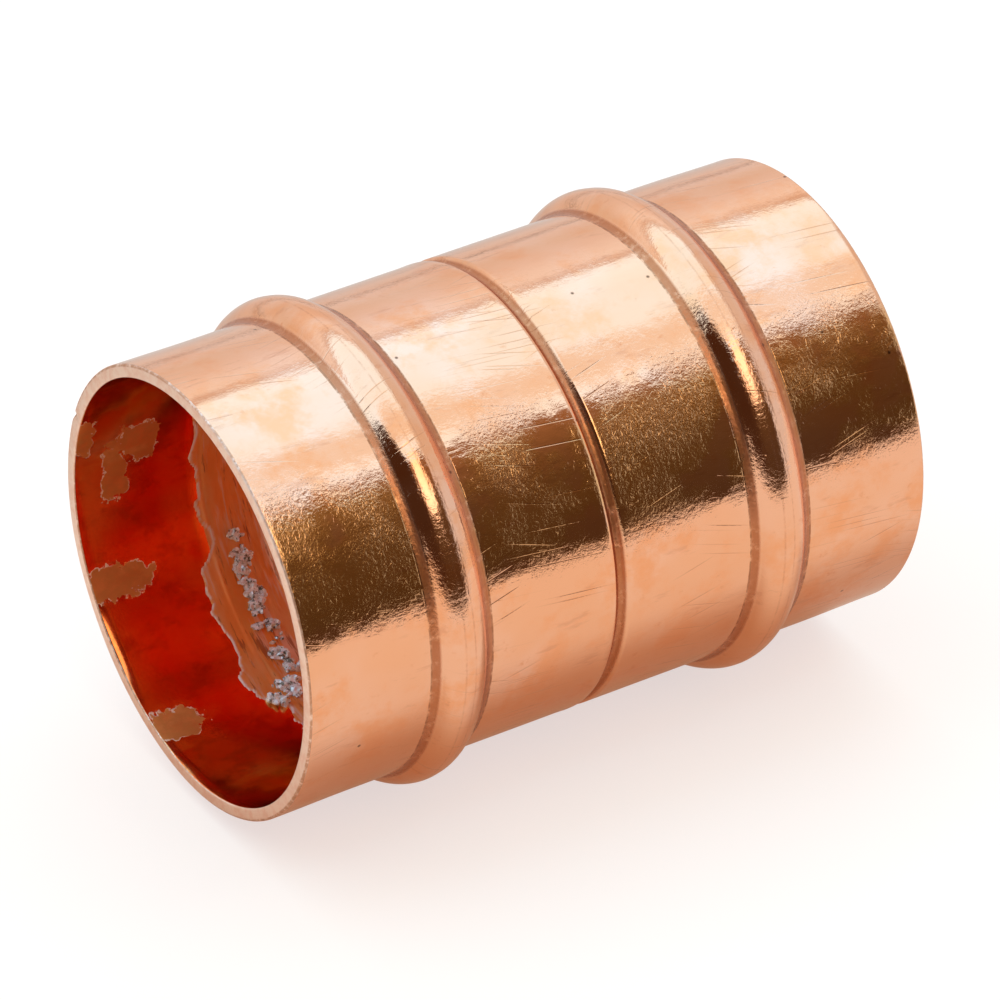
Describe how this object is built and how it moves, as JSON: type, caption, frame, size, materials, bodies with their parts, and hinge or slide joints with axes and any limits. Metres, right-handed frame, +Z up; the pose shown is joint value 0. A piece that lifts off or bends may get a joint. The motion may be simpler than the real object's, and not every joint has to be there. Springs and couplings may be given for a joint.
{
  "type": "solder ring pipe coupling",
  "caption": "Straight copper sleeve that joins tube end to end, with a socket at each mouth, a rolled bead holding a solder ring in each socket, and a rolled stop at mid-length.",
  "frame": {"origin": "on the bore's axis at mid-length, in the middle of the stop", "axes": "+X along the bore from the front socket to the rear socket, +Z up with the coupling lying on its side, +Y to the left when looking along +X"},
  "size_m": [0.0456, 0.0322, 0.0322],
  "materials": {
    "copper": "bright drawn copper with fine draw lines, rub marks and a pink cast; red oxide inside the sockets",
    "solder": "cast tin solder, dull silver with bright grainy lumps"
  },
  "bodies": {
    "root": {"coupling_body": "copper", "front_solder_ring": "solder", "rear_solder_ring": "solder"}
  },
  "joints": []
}
